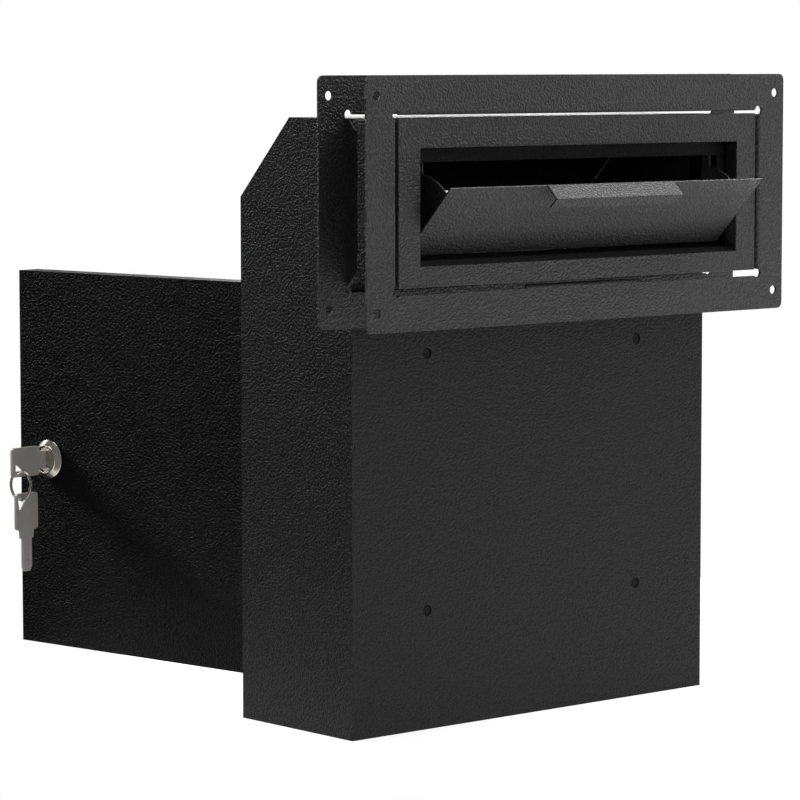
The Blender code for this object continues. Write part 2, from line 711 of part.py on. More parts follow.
def hinge_rivets(axis):
    """Dome-headed rivets through leaf and sheet, two for each leaf."""
    top = -HINGE_RISE + SHEET + 2 * GAP
    under = -HINGE_RISE - SHEET - GAP
    length = top - under
    profile = [(0, 0.0012), (0.0012, 0.0011), (0.0023, 0.0007), (0.0029, 0),
               (RIVET_RADIUS, 0), (RIVET_RADIUS, -length), (0.0024, -length),
               (0.002, -length - 0.0007), (0, -length - 0.0008)]
    for label, side, parent, base in (
            ("frame", -1, None, (HINGE_X, BACK_Y + HINGE_RISE)), ("door", 1, axis, (0, 0))):
        number = 1
        for middle in HINGE_HEIGHTS:
            for shift in (-RIVET_Z, RIVET_Z):
                turned(f"{label}_rivet_{number}", profile, ZINC, 12, parent,
                       (base[0] + side * RIVET_X, base[1] + top, middle + shift),
                       (-math.pi / 2, 0, 0))
                number += 1


# --- lock ---------------------------------------------------------------------

LATHE = (-math.pi / 2, 0, 0)         # turned pieces whose axis is the lock's


def lock_housing(axis):
    """Flanged barrel through the door, bored for the plug."""
    seat = -HINGE_RISE + GAP
    end = seat - BARREL_LENGTH
    step = LOCK_FRONT - 0.0032
    profile = [(LOCK_RIM - 0.0003, LOCK_FRONT), (LOCK_RIM, LOCK_FRONT - 0.0003),
               (LOCK_FLANGE - 0.0004, seat + 0.0012), (LOCK_FLANGE, seat + 0.0008),
               (LOCK_FLANGE, seat), (BARREL_RADIUS, seat), (BARREL_RADIUS, end),
               (PLUG_RADIUS + GAP, end), (PLUG_RADIUS + GAP, step),
               (PLUG_FACE_RADIUS + GAP, step), (PLUG_FACE_RADIUS + GAP, LOCK_FRONT)]
    turned("lock_housing", profile, NICKEL, 28, axis, (LOCK_X, 0, LOCK_Z), LATHE, closed=True)


def lock_nut(axis):
    """Hexagon nut that clamps the housing from inside the door."""
    outline = circle((0, 0), 0.0138, 6)
    hole = circle((0, 0), BARREL_RADIUS + GAP, 20)
    middle = -HINGE_RISE - SHEET - GAP - 0.002
    add_piece("lock_nut", flat_piece([outline, hole], 0.004, "XZ"), ZINC, axis,
              (LOCK_X, middle, LOCK_Z))


def lock_plug(axis):
    """Plug with its keyway, a square for the cam and a stud for the cam's nut."""
    face = LOCK_FRONT - 0.0015
    collar = face - 0.0014
    profile = [(0, face), (PLUG_FACE_RADIUS, face), (PLUG_FACE_RADIUS, collar),
               (PLUG_RADIUS, collar), (PLUG_RADIUS, PLUG_END), (0, PLUG_END)]
    plug = turned("lock_plug", profile, NICKEL, 28, axis, turn=LATHE)
    cam_end = PLUG_END - GAP - CAM_SHEET
    join(plug, cuboid((-CAM_SQUARE, -CAM_SQUARE, cam_end + GAP),
                      (CAM_SQUARE, CAM_SQUARE, PLUG_END + 0.001)))
    join(plug, cylinder(STUD_RADIUS, (0, 0, cam_end - 0.0042), (0, 0, PLUG_END), 16))
    slot = (KEY_SHEET / 2 + GAP, BLADE_WIDTH / 2 + GAP)
    cut(plug, cuboid((-slot[0], -slot[1], face - BLADE_LENGTH - 0.0004),
                     (slot[0], slot[1], face + 0.01)))


def lock_cam(axis):
    """Latch arm; it hangs down while the lock is open."""
    hub, tip = 0.0085, 0.006
    outline = arc((0, 0), hub, -20, 200, 10) + arc((0, -CAM_LENGTH + tip), tip, 200, 340, 6)
    square = CAM_SQUARE + GAP
    hole = [(-square, -square), (square, -square), (square, square), (-square, square)]
    depth = PLUG_END - GAP - CAM_SHEET / 2
    add_piece("lock_cam", flat_piece([outline, hole], CAM_SHEET, "XZ"), ZINC, axis,
              (0, depth, 0))


def cam_nut(axis):
    outline = circle((0, 0), 0.0058, 6)
    hole = circle((0, 0), STUD_RADIUS + GAP, 16)
    depth = PLUG_END - 2 * GAP - CAM_SHEET - 0.00125
    add_piece("cam_nut", flat_piece([outline, hole], 0.0025, "XZ"), ZINC, axis,
              (0, depth, 0))


def key_outline():
    """Key lying along +x: x = 0 where the bow meets the shoulder, hole side at +y."""
    half, shoulder, blade = BOW_WIDTH / 2, SHOULDER_WIDTH / 2, BLADE_WIDTH / 2
    start = -SHOULDER_LENGTH
    tip = start - BLADE_LENGTH
    corner = 0.0022
    outline = arc((BOW_LENGTH - corner, half - corner), corner, 0, 90, 3)
    outline += arc((corner, half - corner), corner, 90, 180, 3)
    outline += [(0, shoulder), (start, shoulder - 0.0006), (start, blade), (tip + 0.003, blade),
                (tip, 0.0024), (tip, -0.0024), (tip + 0.003, -blade), (start, -blade),
                (start, -shoulder + 0.0006), (0, -shoulder)]
    outline += arc((corner, -half + corner), corner, 180, 270, 3)
    outline += arc((BOW_LENGTH - corner, -half + corner), corner, 270, 360, 3)
    far = BOW_LENGTH - HOLE_INSET
    hole = rounded_polygon([(far, 0.0083), (far, 0.0003), (far - 0.0088, 0.0070)], 0.0012)
    return [outline, hole]


def make_key(name, parent, at, turn):
    """A flat key with a groove down its blade, both faces."""
    key = add_piece(name, flat_piece(key_outline(), KEY_SHEET, "XY"), NICKEL, parent, at)
    key.rotation_euler = turn
    start = -SHOULDER_LENGTH
    for face in (-1, 1):
        z = sorted((face * (KEY_SHEET / 2 - 0.0005), face * KEY_SHEET))
        cut(key, cuboid((start - 0.0085, -0.0011, z[0]), (-0.001, 0.0011, z[1])))
        for i in range(3):
            x = start - 0.0112 - 0.0034 * i
            cut(key, cuboid((x - 0.001, -0.001, z[0]), (x + 0.001, 0.001, z[1])))


def key_set(axis):
    """Key in the lock, ring through its bow, and the spare key on the ring."""
    key_axis = add_axis("key_axis", (0, BOW_START, 0), parent=axis)
    bow_out = Matrix(((0, 0, -1), (1, 0, 0), (0, -1, 0)))     # bow along +y, hole side down
    make_key("key", key_axis, (0, 0, 0), bow_out.to_euler())
    ring_axis = add_axis("ring_axis", (0, RING_U, -RING_V), parent=key_axis)
    bm = bmesh.new()
    around, across = 28, 8
    verts = [[bm.verts.new(((RING_RADIUS + RING_WIRE * math.cos(b)) * math.sin(a),
                            RING_WIRE * math.sin(b),
                            (RING_RADIUS + RING_WIRE * math.cos(b)) * math.cos(a) - RING_RADIUS))
              for b in (2 * math.pi * j / across for j in range(across))]
             for a in (2 * math.pi * i / around for i in range(around))]
    for i in range(around):
        for j in range(across):
            k, m = (i + 1) % around, (j + 1) % across
            bm.faces.new((verts[i][j], verts[k][j], verts[k][m], verts[i][m]))
    bmesh.ops.recalc_face_normals(bm, faces=bm.faces)
    add_piece("key_ring", as_mesh(bm), NICKEL, ring_axis)
    spare_axis = add_axis("spare_axis", (0, 0, -2 * RING_RADIUS), parent=ring_axis)
    rest = BOW_LENGTH - HOLE_INSET - RING_WIRE - RING_AIR
    bow_up = (0, -math.pi / 2, 0)
    make_key("spare_key", spare_axis, (0, -SPARE_SHIFT, -rest), bow_up)


# --- assembly -----------------------------------------------------------------

clear_scene()
parts = new_collection("parcel_drop_box")
cutters = new_collection("cutters")

box_wrap()
hole_plugs()
bottom_panel()
top_cover()
rear_frame()
door_stops()
chute_sleeve()
chute_face()
flap_stop_frame()
deck_height = sill_deck()
hinge_brackets(deck_height)
pivot_pins()

flap_axis = add_axis("flap_axis", (0, *FLAP_AXIS), (FLAP_OPEN, 0, 0))
flap_panel(flap_axis)
flap_cheeks(flap_axis)

trim_plate("rear_plate", FRONT_Y - GAP, -1)
trim_plate("front_plate", FRONT_Y - GAP - PLATE - PLATE_PITCH, 1)

door_axis = add_axis("door_axis", (HINGE_X, BACK_Y + HINGE_RISE, 0), (0, 0, DOOR_OPEN))
door_panel(door_axis)
door_hinges(door_axis)
hinge_rivets(door_axis)
lock_housing(door_axis)
lock_nut(door_axis)
lock_axis = add_axis("lock_axis", (LOCK_X, 0, LOCK_Z), parent=door_axis)
lock_plug(lock_axis)
lock_cam(lock_axis)
cam_nut(lock_axis)
key_set(lock_axis)
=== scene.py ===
import json
import math
import bmesh
import bpy
import numpy as np
from mathutils import Matrix, Vector


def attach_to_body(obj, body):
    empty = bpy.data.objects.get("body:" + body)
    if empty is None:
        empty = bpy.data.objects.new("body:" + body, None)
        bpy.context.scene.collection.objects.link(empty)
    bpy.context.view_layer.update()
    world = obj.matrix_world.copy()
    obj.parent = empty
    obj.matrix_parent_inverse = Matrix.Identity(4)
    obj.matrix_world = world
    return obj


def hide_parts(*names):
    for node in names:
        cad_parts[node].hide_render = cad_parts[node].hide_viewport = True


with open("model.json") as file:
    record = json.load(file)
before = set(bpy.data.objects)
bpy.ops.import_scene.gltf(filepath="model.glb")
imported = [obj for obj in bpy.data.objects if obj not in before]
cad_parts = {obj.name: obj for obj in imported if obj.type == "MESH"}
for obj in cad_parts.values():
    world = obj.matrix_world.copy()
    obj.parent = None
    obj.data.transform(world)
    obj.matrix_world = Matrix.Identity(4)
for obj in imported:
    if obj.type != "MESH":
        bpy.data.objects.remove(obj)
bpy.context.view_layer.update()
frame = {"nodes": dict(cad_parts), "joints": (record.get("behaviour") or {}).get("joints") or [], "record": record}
scene = bpy.context.scene
nodes = frame["nodes"]
joints = {joint["name"]: joint for joint in frame["joints"]}
bodyOf = {node: body for body, members in frame["record"]["behaviour"]["bodies"].items()
          for node in members}
print("frame loaded:", len(nodes), "nodes")


# camera and stage

cameraLook = {
    "place": (-1.56975, -1.72558, 0.41669),
    "pitch": 84.646,         # degrees from straight down
    "turn": -41.055,
    "roll": -0.054,
    "lens": 162.1,           # millimetres on a 36 mm sensor
}


def makeCamera(look):
    data = bpy.data.cameras.new("camera")
    data.lens = look["lens"]
    data.sensor_width = 36
    data.clip_end = 30
    camera = bpy.data.objects.new("camera", data)
    scene.collection.objects.link(camera)
    aim = (Matrix.Rotation(math.radians(look["turn"]), 4, "Z")
           @ Matrix.Rotation(math.radians(look["pitch"]), 4, "X")
           @ Matrix.Rotation(math.radians(look["roll"]), 4, "Z"))
    camera.matrix_world = Matrix.Translation(look["place"]) @ aim
    scene.camera = camera


stageLook = {
    "floorColour": (0.40, 0.40, 0.40),
    "floorGlow": 0.84,
    "floorSize": 3.0,
    "floorPlace": (1.28, -1.20, 0.0),        # it stops short on the dark side of the studio
    "backdrop": (1.0, 1.0, 1.0),     # what the camera sees behind the object
    "openSide": 0.42,                # how much of it lights the object from the front right
    "darkSide": 0.02,                # and from the rear left, where the studio is hung with black
    "darkWay": (-0.80, 0.60, 0.0),
}

# name: where it stands, where it aims, width, height, watts
lights = {
    "frontBox": ((0.6, -2.9, 1.2), (-0.1, 0.0, 0.25), 1.0, 1.0, 12),
    "highRight": ((1.9, 0.1, 2.1), (0.0, -0.1, 0.33), 1.2, 1.2, 66),
    "rearRight": ((1.9, 1.8, 0.9), (0.0, -0.1, 0.33), 1.0, 1.2, 34),
    "rearLeft": ((-0.70, 2.5, 1.6), (-0.15, 0.0, 0.3), 0.5, 0.6, 34),
    "topBox": ((0.0, 0.2, 2.4), (0.0, 0.0, 0.3), 1.0, 1.0, 30),
    "lockGlint": ((-2.0, 1.55, 0.25), (-0.15, 0.27, 0.15), 0.5, 0.5, 3.0),
}


def makeStage(look):
    bpy.ops.mesh.primitive_plane_add(size=look["floorSize"], location=look["floorPlace"])
    floor = bpy.context.object
    floor.name = "floor"
    paint = bpy.data.materials.new("floorPaint")
    paint.use_nodes = True
    shader = paint.node_tree.nodes["Principled BSDF"]
    shader.inputs["Base Color"].default_value = (*look["floorColour"], 1)
    shader.inputs["Roughness"].default_value = 0.9
    shader.inputs["Emission Color"].default_value = (1, 1, 1, 1)
    shader.inputs["Emission Strength"].default_value = look["floorGlow"]
    floor.data.materials.append(paint)
    world = bpy.data.worlds.new("studio")
    scene.world = world
    world.use_nodes = True
    tree = world.node_tree
    glow = tree.nodes["Background"]
    glow.inputs["Color"].default_value = (*look["backdrop"], 1)
    place = tree.nodes.new("ShaderNodeTexCoord")
    facing = tree.nodes.new("ShaderNodeVectorMath")
    facing.operation = "DOT_PRODUCT"
    facing.inputs[1].default_value = look["darkWay"]
    tree.links.new(place.outputs["Generated"], facing.inputs[0])
    falling = tree.nodes.new("ShaderNodeMapRange")
    falling.inputs["From Min"].default_value = -1.0
    falling.inputs["To Min"].default_value = look["openSide"]
    falling.inputs["To Max"].default_value = look["darkSide"]
    tree.links.new(facing.outputs["Value"], falling.inputs["Value"])
    ray = tree.nodes.new("ShaderNodeLightPath")
    level = tree.nodes.new("ShaderNodeMapRange")
    level.inputs["To Max"].default_value = 1.0
    tree.links.new(falling.outputs["Result"], level.inputs["To Min"])
    tree.links.new(ray.outputs["Is Camera Ray"], level.inputs["Value"])
    tree.links.new(level.outputs["Result"], glow.inputs["Strength"])
    scene.view_settings.view_transform = "Standard"


def makeLights(table):
    for name, (place, aim, width, height, watts) in table.items():
        data = bpy.data.lights.new(name, "AREA")
        data.shape = "RECTANGLE"
        data.size = width
        data.size_y = height
        data.energy = watts
        lamp = bpy.data.objects.new(name, data)
        scene.collection.objects.link(lamp)
        lamp.location = place
        way = Vector(aim) - Vector(place)
        lamp.rotation_euler = way.to_track_quat("-Z", "Y").to_euler()


makeCamera(cameraLook)
makeStage(stageLook)
makeLights(lights)
print("camera, stage and lights ready")


# shader groups

def newGroup(name, inputs, outputs):
    tree = bpy.data.node_groups.new(name, "ShaderNodeTree")
    for label, kind, value in inputs:
        socket = tree.interface.new_socket(label, in_out="INPUT", socket_type=kind)
        if value is not None:
            socket.default_value = value
    for label, kind in outputs:
        tree.interface.new_socket(label, in_out="OUTPUT", socket_type=kind)
    return tree, tree.nodes.new("NodeGroupInput"), tree.nodes.new("NodeGroupOutput")


def mathNode(tree, operation, first, second=None):
    node = tree.nodes.new("ShaderNodeMath")
    node.operation = operation
    for socket, value in zip(node.inputs, (first, second)):
        if value is None:
            continue
        if isinstance(value, (int, float)):
            socket.default_value = value
        else:
            tree.links.new(value, socket)
    return node.outputs[0]


def noiseNode(tree, vector, scale, detail=2.0, rough=0.5):
    node = tree.nodes.new("ShaderNodeTexNoise")
    node.inputs["Detail"].default_value = detail
    node.inputs["Roughness"].default_value = rough
    if isinstance(scale, (int, float)):
        node.inputs["Scale"].default_value = scale
    else:
        tree.links.new(scale, node.inputs["Scale"])
    tree.links.new(vector, node.inputs["Vector"])
    return node.outputs["Fac"]


powderGrainLook = {
    "crestFrom": 0.36, "crestTo": 0.64,      # how much of the noise rises into lumps
    "fineScale": 3.1, "fineShare": 0.45,     # grain between the lumps, against the lumps' own
    "driftScale": 9.0,
}


def makePowderGroup(look):
    # wrinkle of a powder coat: leaning lumps, finer grain between them and slow tone drift
    tree, inward, outward = newGroup("powderGrain", [
        ("Vector", "NodeSocketVector", None), ("Lumps", "NodeSocketFloat", 420.0)],
        [("Height", "NodeSocketFloat"), ("Lump", "NodeSocketFloat"), ("Drift", "NodeSocketFloat")])
    vector = inward.outputs["Vector"]
    lumps = noiseNode(tree, vector, inward.outputs["Lumps"], 1.0, 0.4)
    fineScale = mathNode(tree, "MULTIPLY", inward.outputs["Lumps"], look["fineScale"])
    fine = noiseNode(tree, vector, fineScale, 2.0, 0.6)
    drift = noiseNode(tree, vector, look["driftScale"], 2.0, 0.5)
    crest = tree.nodes.new("ShaderNodeMapRange")
    crest.interpolation_type = "SMOOTHSTEP"
    crest.inputs["From Min"].default_value = look["crestFrom"]
    crest.inputs["From Max"].default_value = look["crestTo"]
    tree.links.new(lumps, crest.inputs["Value"])
    grain = mathNode(tree, "MULTIPLY", fine, look["fineShare"])
    mixed = mathNode(tree, "ADD", crest.outputs["Result"], grain)
    tree.links.new(mixed, outward.inputs["Height"])
    tree.links.new(crest.outputs["Result"], outward.inputs["Lump"])
    tree.links.new(drift, outward.inputs["Drift"])
    return tree


platedMarksLook = {"stretch": (1.0, 1.0, 0.06), "smudgeScale": 160.0}


def makeBrushedGroup(look):
    # hair-fine polishing marks and soft smudges on plated metal
    tree, inward, outward = newGroup("platedMarks", [
        ("Vector", "NodeSocketVector", None), ("Marks", "NodeSocketFloat", 900.0)],
        [("Height", "NodeSocketFloat"), ("Smudge", "NodeSocketFloat")])
    stretch = tree.nodes.new("ShaderNodeMapping")
    stretch.inputs["Scale"].default_value = look["stretch"]
    tree.links.new(inward.outputs["Vector"], stretch.inputs["Vector"])
    marks = noiseNode(tree, stretch.outputs["Vector"], inward.outputs["Marks"], 3.0, 0.6)
    smudge = noiseNode(tree, inward.outputs["Vector"], look["smudgeScale"], 3.0, 0.55)
    tree.links.new(marks, outward.inputs["Height"])
    tree.links.new(smudge, outward.inputs["Smudge"])
    return tree


powderGroup = makePowderGroup(powderGrainLook)
platedGroup = makeBrushedGroup(platedMarksLook)


def materialStart(name):
    made = bpy.data.materials.new(name)
    made.use_nodes = True
    tree = made.node_tree
    return made, tree, tree.nodes["Principled BSDF"]


def placeGroup(tree, group, vector, **values):
    node = tree.nodes.new("ShaderNodeGroup")
    node.node_tree = group
    tree.links.new(vector, node.inputs["Vector"])
    for label, value in values.items():
        node.inputs[label].default_value = value
    return node


def leaningVector(tree, tilt, stretch):
    # object position turned by `tilt` about each upright face's normal and drawn out along it
    place = tree.nodes.new("ShaderNodeTexCoord")
    turned = tree.nodes.new("ShaderNodeMapping")
    turned.vector_type = "POINT"
    turned.inputs["Rotation"].default_value = (tilt, tilt, 0)
    drawn = tree.nodes.new("ShaderNodeMapping")
    drawn.inputs["Scale"].default_value = (1.0, 1.0, stretch)
    tree.links.new(place.outputs["Object"], turned.inputs["Vector"])
    tree.links.new(turned.outputs["Vector"], drawn.inputs["Vector"])
    return drawn.outputs["Vector"]


def powderMaterial(name, look):
    made, tree, shader = materialStart(name)
    vector = leaningVector(tree, math.radians(look["tilt"]), look["stretch"])
    grain = placeGroup(tree, powderGroup, vector, Lumps=look["lumps"])
    tone = tree.nodes.new("ShaderNodeMix")
    tone.data_type = "RGBA"
    tone.inputs["A"].default_value = (*look["valley"], 1)
    tone.inputs["B"].default_value = (*look["crest"], 1)
    tree.links.new(grain.outputs["Lump"], tone.inputs["Factor"])
    shade = tree.nodes.new("ShaderNodeMix")
    shade.data_type = "RGBA"
    shade.blend_type = "MULTIPLY"
    shade.inputs["Factor"].default_value = 1.0
    drift = tree.nodes.new("ShaderNodeMapRange")
    drift.inputs["To Min"].default_value = 1 - look["drift"]
    drift.inputs["To Max"].default_value = 1 + look["drift"]
    tree.links.new(grain.outputs["Drift"], drift.inputs["Value"])
    tree.links.new(tone.outputs["Result"], shade.inputs["A"])
    tree.links.new(drift.outputs["Result"], shade.inputs["B"])
    tree.links.new(shade.outputs["Result"], shader.inputs["Base Color"])
    gloss = tree.nodes.new("ShaderNodeMapRange")
    gloss.inputs["To Min"].default_value = look["rough"] + look["valleyDull"]
    gloss.inputs["To Max"].default_value = look["rough"] - look["crestShine"]
    tree.links.new(grain.outputs["Lump"], gloss.inputs["Value"])
    tree.links.new(gloss.outputs["Result"], shader.inputs["Roughness"])
    bump = tree.nodes.new("ShaderNodeBump")
    # the coat lies smoother on faces that look to the street than on those that look sideways
    place = tree.nodes.new("ShaderNodeTexCoord")
    facing = tree.nodes.new("ShaderNodeSeparateXYZ")
    tree.links.new(place.outputs["Normal"], facing.inputs["Vector"])
    across = mathNode(tree, "ABSOLUTE", facing.outputs["Y"])
    relief = tree.nodes.new("ShaderNodeMapRange")
    relief.inputs["To Min"].default_value = look["bump"]
    relief.inputs["To Max"].default_value = look["frontBump"]
    tree.links.new(across, relief.inputs["Value"])
    height = mathNode(tree, "MULTIPLY", grain.outputs["Height"], relief.outputs["Result"])
    bump.inputs["Distance"].default_value = look["depth"]
    tree.links.new(height, bump.inputs["Height"])
    tree.links.new(bump.outputs["Normal"], shader.inputs["Normal"])
    shader.inputs["Specular IOR Level"].default_value = look["sheen"]
    return made


def platedMaterial(name, look):
    made, tree, shader = materialStart(name)
    place = tree.nodes.new("ShaderNodeTexCoord")
    marks = placeGroup(tree, platedGroup, place.outputs["Object"], Marks=look["marks"])
    tone = tree.nodes.new("ShaderNodeMix")
    tone.data_type = "RGBA"
    tone.inputs["A"].default_value = (*look["dull"], 1)
    tone.inputs["B"].default_value = (*look["bright"], 1)
    tree.links.new(marks.outputs["Smudge"], tone.inputs["Factor"])
    tree.links.new(tone.outputs["Result"], shader.inputs["Base Color"])
    gloss = tree.nodes.new("ShaderNodeMapRange")
    gloss.inputs["To Min"].default_value = look["rough"] - look["smudgeSpread"]
    gloss.inputs["To Max"].default_value = look["rough"] + look["smudgeSpread"]
    tree.links.new(marks.outputs["Smudge"], gloss.inputs["Value"])
    tree.links.new(gloss.outputs["Result"], shader.inputs["Roughness"])
    bump = tree.nodes.new("ShaderNodeBump")
    bump.inputs["Strength"].default_value = look["bump"]
    bump.inputs["Distance"].default_value = look["depth"]
    tree.links.new(marks.outputs["Height"], bump.inputs["Height"])
    tree.links.new(bump.outputs["Normal"], shader.inputs["Normal"])
    shader.inputs["Metallic"].default_value = look["metal"]
    return made


powderLook = {
    "tilt": 40, "stretch": 0.8, "lumps": 760.0, "valley": (0.006, 0.006, 0.0062),
    "crest": (0.009, 0.009, 0.0093), "rough": 0.5, "bump": 1.0, "frontBump": 0.32,
    "depth": 0.0007, "sheen": 0.22, "drift": 0.14, "valleyDull": 0.08, "crestShine": 0.06,
}
# the plates are the same black powder coat as the box: their lighter colour and higher sheen are painted light
plateLitLook = dict(powderLook, tilt=-40, valley=(0.024, 0.024, 0.0246), crest=(0.034, 0.034, 0.0348),
                 sheen=0.48, frontBump=0.75)
# the door is the same powder coat as the box: its darker colour and lower sheen are painted shade for the side
# that faces the dark studio
doorShadeLook = dict(powderLook, valley=(0.003, 0.003, 0.0031), crest=(0.0045, 0.0045, 0.0046),
                sheen=0.10, frontBump=1.0)
# darker colour and lower sheen are painted shade for the stop frame, sill deck and hinge brackets deep in the
# recess
recessShadeLook = dict(powderLook, valley=(0.003, 0.003, 0.003), crest=(0.004, 0.004, 0.004), sheen=0.15)
plasticLook = dict(powderLook, valley=(0.003, 0.003, 0.003), crest=(0.004, 0.004, 0.004),
                   lumps=900.0, bump=0.15, frontBump=0.15, sheen=0.12)

powderPaint = powderMaterial("powderPaint", powderLook)
# lit copy of the powder coat for the plates, flap and cheeks: painted light
plateLitPaint = powderMaterial("plateLitPaint", plateLitLook)
# shaded copy of the powder coat for the door: painted shade
doorShadePaint = powderMaterial("doorShadePaint", doorShadeLook)
# shaded copy of the powder coat for the recess parts: painted shade
recessShadePaint = powderMaterial("recessShadePaint", recessShadeLook)
plugPlastic = powderMaterial("plugPlastic", plasticLook)

nickelLook = {"dull": (0.46, 0.43, 0.39), "bright": (0.62, 0.58, 0.53), "rough": 0.24,
              "marks": 1400.0, "bump": 0.2, "metal": 1.0, "depth": 0.0001, "smudgeSpread": 0.07}
keyLook = dict(nickelLook, dull=(0.64, 0.615, 0.58), bright=(0.76, 0.735, 0.70), rough=0.42,
               marks=1100.0, bump=0.25, metal=0.3)
zincLook = dict(nickelLook, dull=(0.42, 0.43, 0.44), bright=(0.60, 0.61, 0.62), rough=0.38,
                marks=900.0, bump=0.35)
nickelFinish = platedMaterial("nickelFinish", nickelLook)
keyFinish = platedMaterial("keyFinish", keyLook)
zincFinish = platedMaterial("zincFinish", zincLook)
print("materials ready")


# sheet pieces with eased edges

easeLook = {
    "merge": 0.000002,       # metres, welds the loose triangles of the frame's model
    "flat": 0.4,             # degrees, faces nearer than this are one flat
    "corner": 40,            # degrees, sharper edges are eased
    "steps": 3,
    "sheetEdge": 0.0004, "plugEdge": 0.0002, "hardEdge": 0.00018,
}


def attach(piece, node):
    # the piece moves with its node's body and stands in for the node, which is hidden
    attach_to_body(piece, bodyOf[node])
    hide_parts(node)


def easedCopy(node, material, edge):
    # the frame's own shape with welded faces, rounded sheet edges and area-weighted shading
    mesh = nodes[node].data.copy()
    mesh.name = node + "Eased"
    shape = bmesh.new()
    shape.from_mesh(mesh)
    bmesh.ops.remove_doubles(shape, verts=shape.verts, dist=easeLook["merge"])
    bmesh.ops.dissolve_limit(shape, angle_limit=math.radians(easeLook["flat"]),
                             verts=shape.verts, edges=shape.edges)
    for face in shape.faces:
        face.smooth = True
    shape.to_mesh(mesh)
    shape.free()
    mesh.materials.clear()
    mesh.materials.append(material)
    piece = bpy.data.objects.new(node + "Eased", mesh)
    scene.collection.objects.link(piece)
    bevel = piece.modifiers.new("easedEdges", "BEVEL")
    bevel.width = edge
    bevel.segments = easeLook["steps"]
    bevel.limit_method = "ANGLE"
    bevel.angle_limit = math.radians(easeLook["corner"])
    bevel.use_clamp_overlap = True
    even = piece.modifiers.new("evenShading", "WEIGHTED_NORMAL")
    even.mode = "FACE_AREA"
    even.weight = 50
    attach(piece, node)


sheetFinish = {
    "box_wrap": powderPaint, "bottom_panel": powderPaint, "top_cover": powderPaint,
    "rear_frame": powderPaint, "lower_door_stop": powderPaint, "upper_door_stop": powderPaint,
    "chute_sleeve": powderPaint, "chute_face": plateLitPaint, "flap_stop_frame": recessShadePaint,
    "sill_deck": recessShadePaint, "left_hinge_bracket": recessShadePaint, "right_hinge_bracket": recessShadePaint,
    "flap_panel": plateLitPaint, "left_flap_cheek": plateLitPaint, "right_flap_cheek": plateLitPaint,
    "front_plate": plateLitPaint, "rear_plate": plateLitPaint, "door_panel": doorShadePaint,
}
for node, paint in sheetFinish.items():
    easedCopy(node, paint, easeLook["sheetEdge"])

for node in [name for name in nodes if name.startswith("hole_plug")]:
    easedCopy(node, plugPlastic, easeLook["plugEdge"])

hardFinish = {
    "lock_nut": zincFinish, "lock_plug": nickelFinish, "lock_cam": zincFinish,
    "cam_nut": zincFinish, "key": keyFinish, "spare_key": keyFinish,
    "lower_frame_leaf": zincFinish, "lower_door_leaf": zincFinish,
    "upper_frame_leaf": zincFinish, "upper_door_leaf": zincFinish,
}
for node, finish in hardFinish.items():
    easedCopy(node, finish, easeLook["hardEdge"])


# finely turned lock housing, rivets and pins

turnLook = {"around": 96, "arcSteps": 4, "arcShare": 0.4, "sharp": 38}


def gridPiece(name, rings, material, closedEnds):
    # quads between rings of points, joined round; closed ends get a fan to their middle
    count, around = rings.shape[:2]
    points = rings.reshape(-1, 3)
    row = np.arange(count - closedEnds)[:, None] * around
    following = (row + around) % (count * around)
    here = np.arange(around)
    beside = (here + 1) % around
    quads = np.stack((row + here, row + beside, following + beside, following + here), axis=-1)
    faces = quads.reshape(-1, 4).tolist()
    if closedEnds:
        for ring, order in ((0, -1), (count - 1, 1)):
            pairs = np.stack((here, beside), axis=-1)[:, ::order] + ring * around
            faces += np.column_stack((pairs, np.full(around, len(points)))).tolist()
            points = np.vstack((points, rings[ring].mean(axis=0)))
    mesh = bpy.data.meshes.new(name)
    mesh.from_pydata(points.tolist(), [], faces)
    shape = bmesh.new()
    shape.from_mesh(mesh)
    bmesh.ops.recalc_face_normals(shape, faces=shape.faces)
    for face in shape.faces:
        face.smooth = True
    shape.to_mesh(mesh)
    shape.free()
    mesh.set_sharp_from_angle(angle=math.radians(turnLook["sharp"]))
    mesh.materials.append(material)
    piece = bpy.data.objects.new(name, mesh)
    scene.collection.objects.link(piece)
    return piece


def easedProfile(corners, radius, closed):
    # each corner is cut back by `radius` and joined by a parabola through the cut points
    out = []
    share = turnLook["arcShare"]
    for i, corner in enumerate(corners):
        if not closed and i in (0, len(corners) - 1):
            out.append(corner)
            continue
        here = np.array(corner)
        before = np.array(corners[i - 1]) - here
        after = np.array(corners[(i + 1) % len(corners)]) - here
        before *= min(radius, np.linalg.norm(before) * share) / np.linalg.norm(before)
        after *= min(radius, np.linalg.norm(after) * share) / np.linalg.norm(after)
        for t in np.linspace(0, 1, turnLook["arcSteps"] + 1):
            out.append(tuple(here + before * (1 - t) ** 2 + after * t ** 2))
    return out


def turnedPiece(node, material, centre, axis, profile, edge, closed=False):
    # circles about the axis: radius and height of each come from the eased profile
    axis = np.array(Vector(axis).normalized())
    side = np.cross(axis, (0, 0, 1) if abs(axis[2]) < 0.9 else (1, 0, 0))
    side /= np.linalg.norm(side)
    other = np.cross(axis, side)
    turn = np.linspace(0, 2 * math.pi, turnLook["around"], endpoint=False)[:, None]
    circle = np.cos(turn) * side + np.sin(turn) * other
    outline = np.array(easedProfile(profile, edge, closed))[:, :, None, None]
    rings = np.array(centre) + axis * outline[:, 1] + circle * outline[:, 0]
    piece = gridPiece(node + "Turned", rings, material, not closed)
    attach(piece, node)


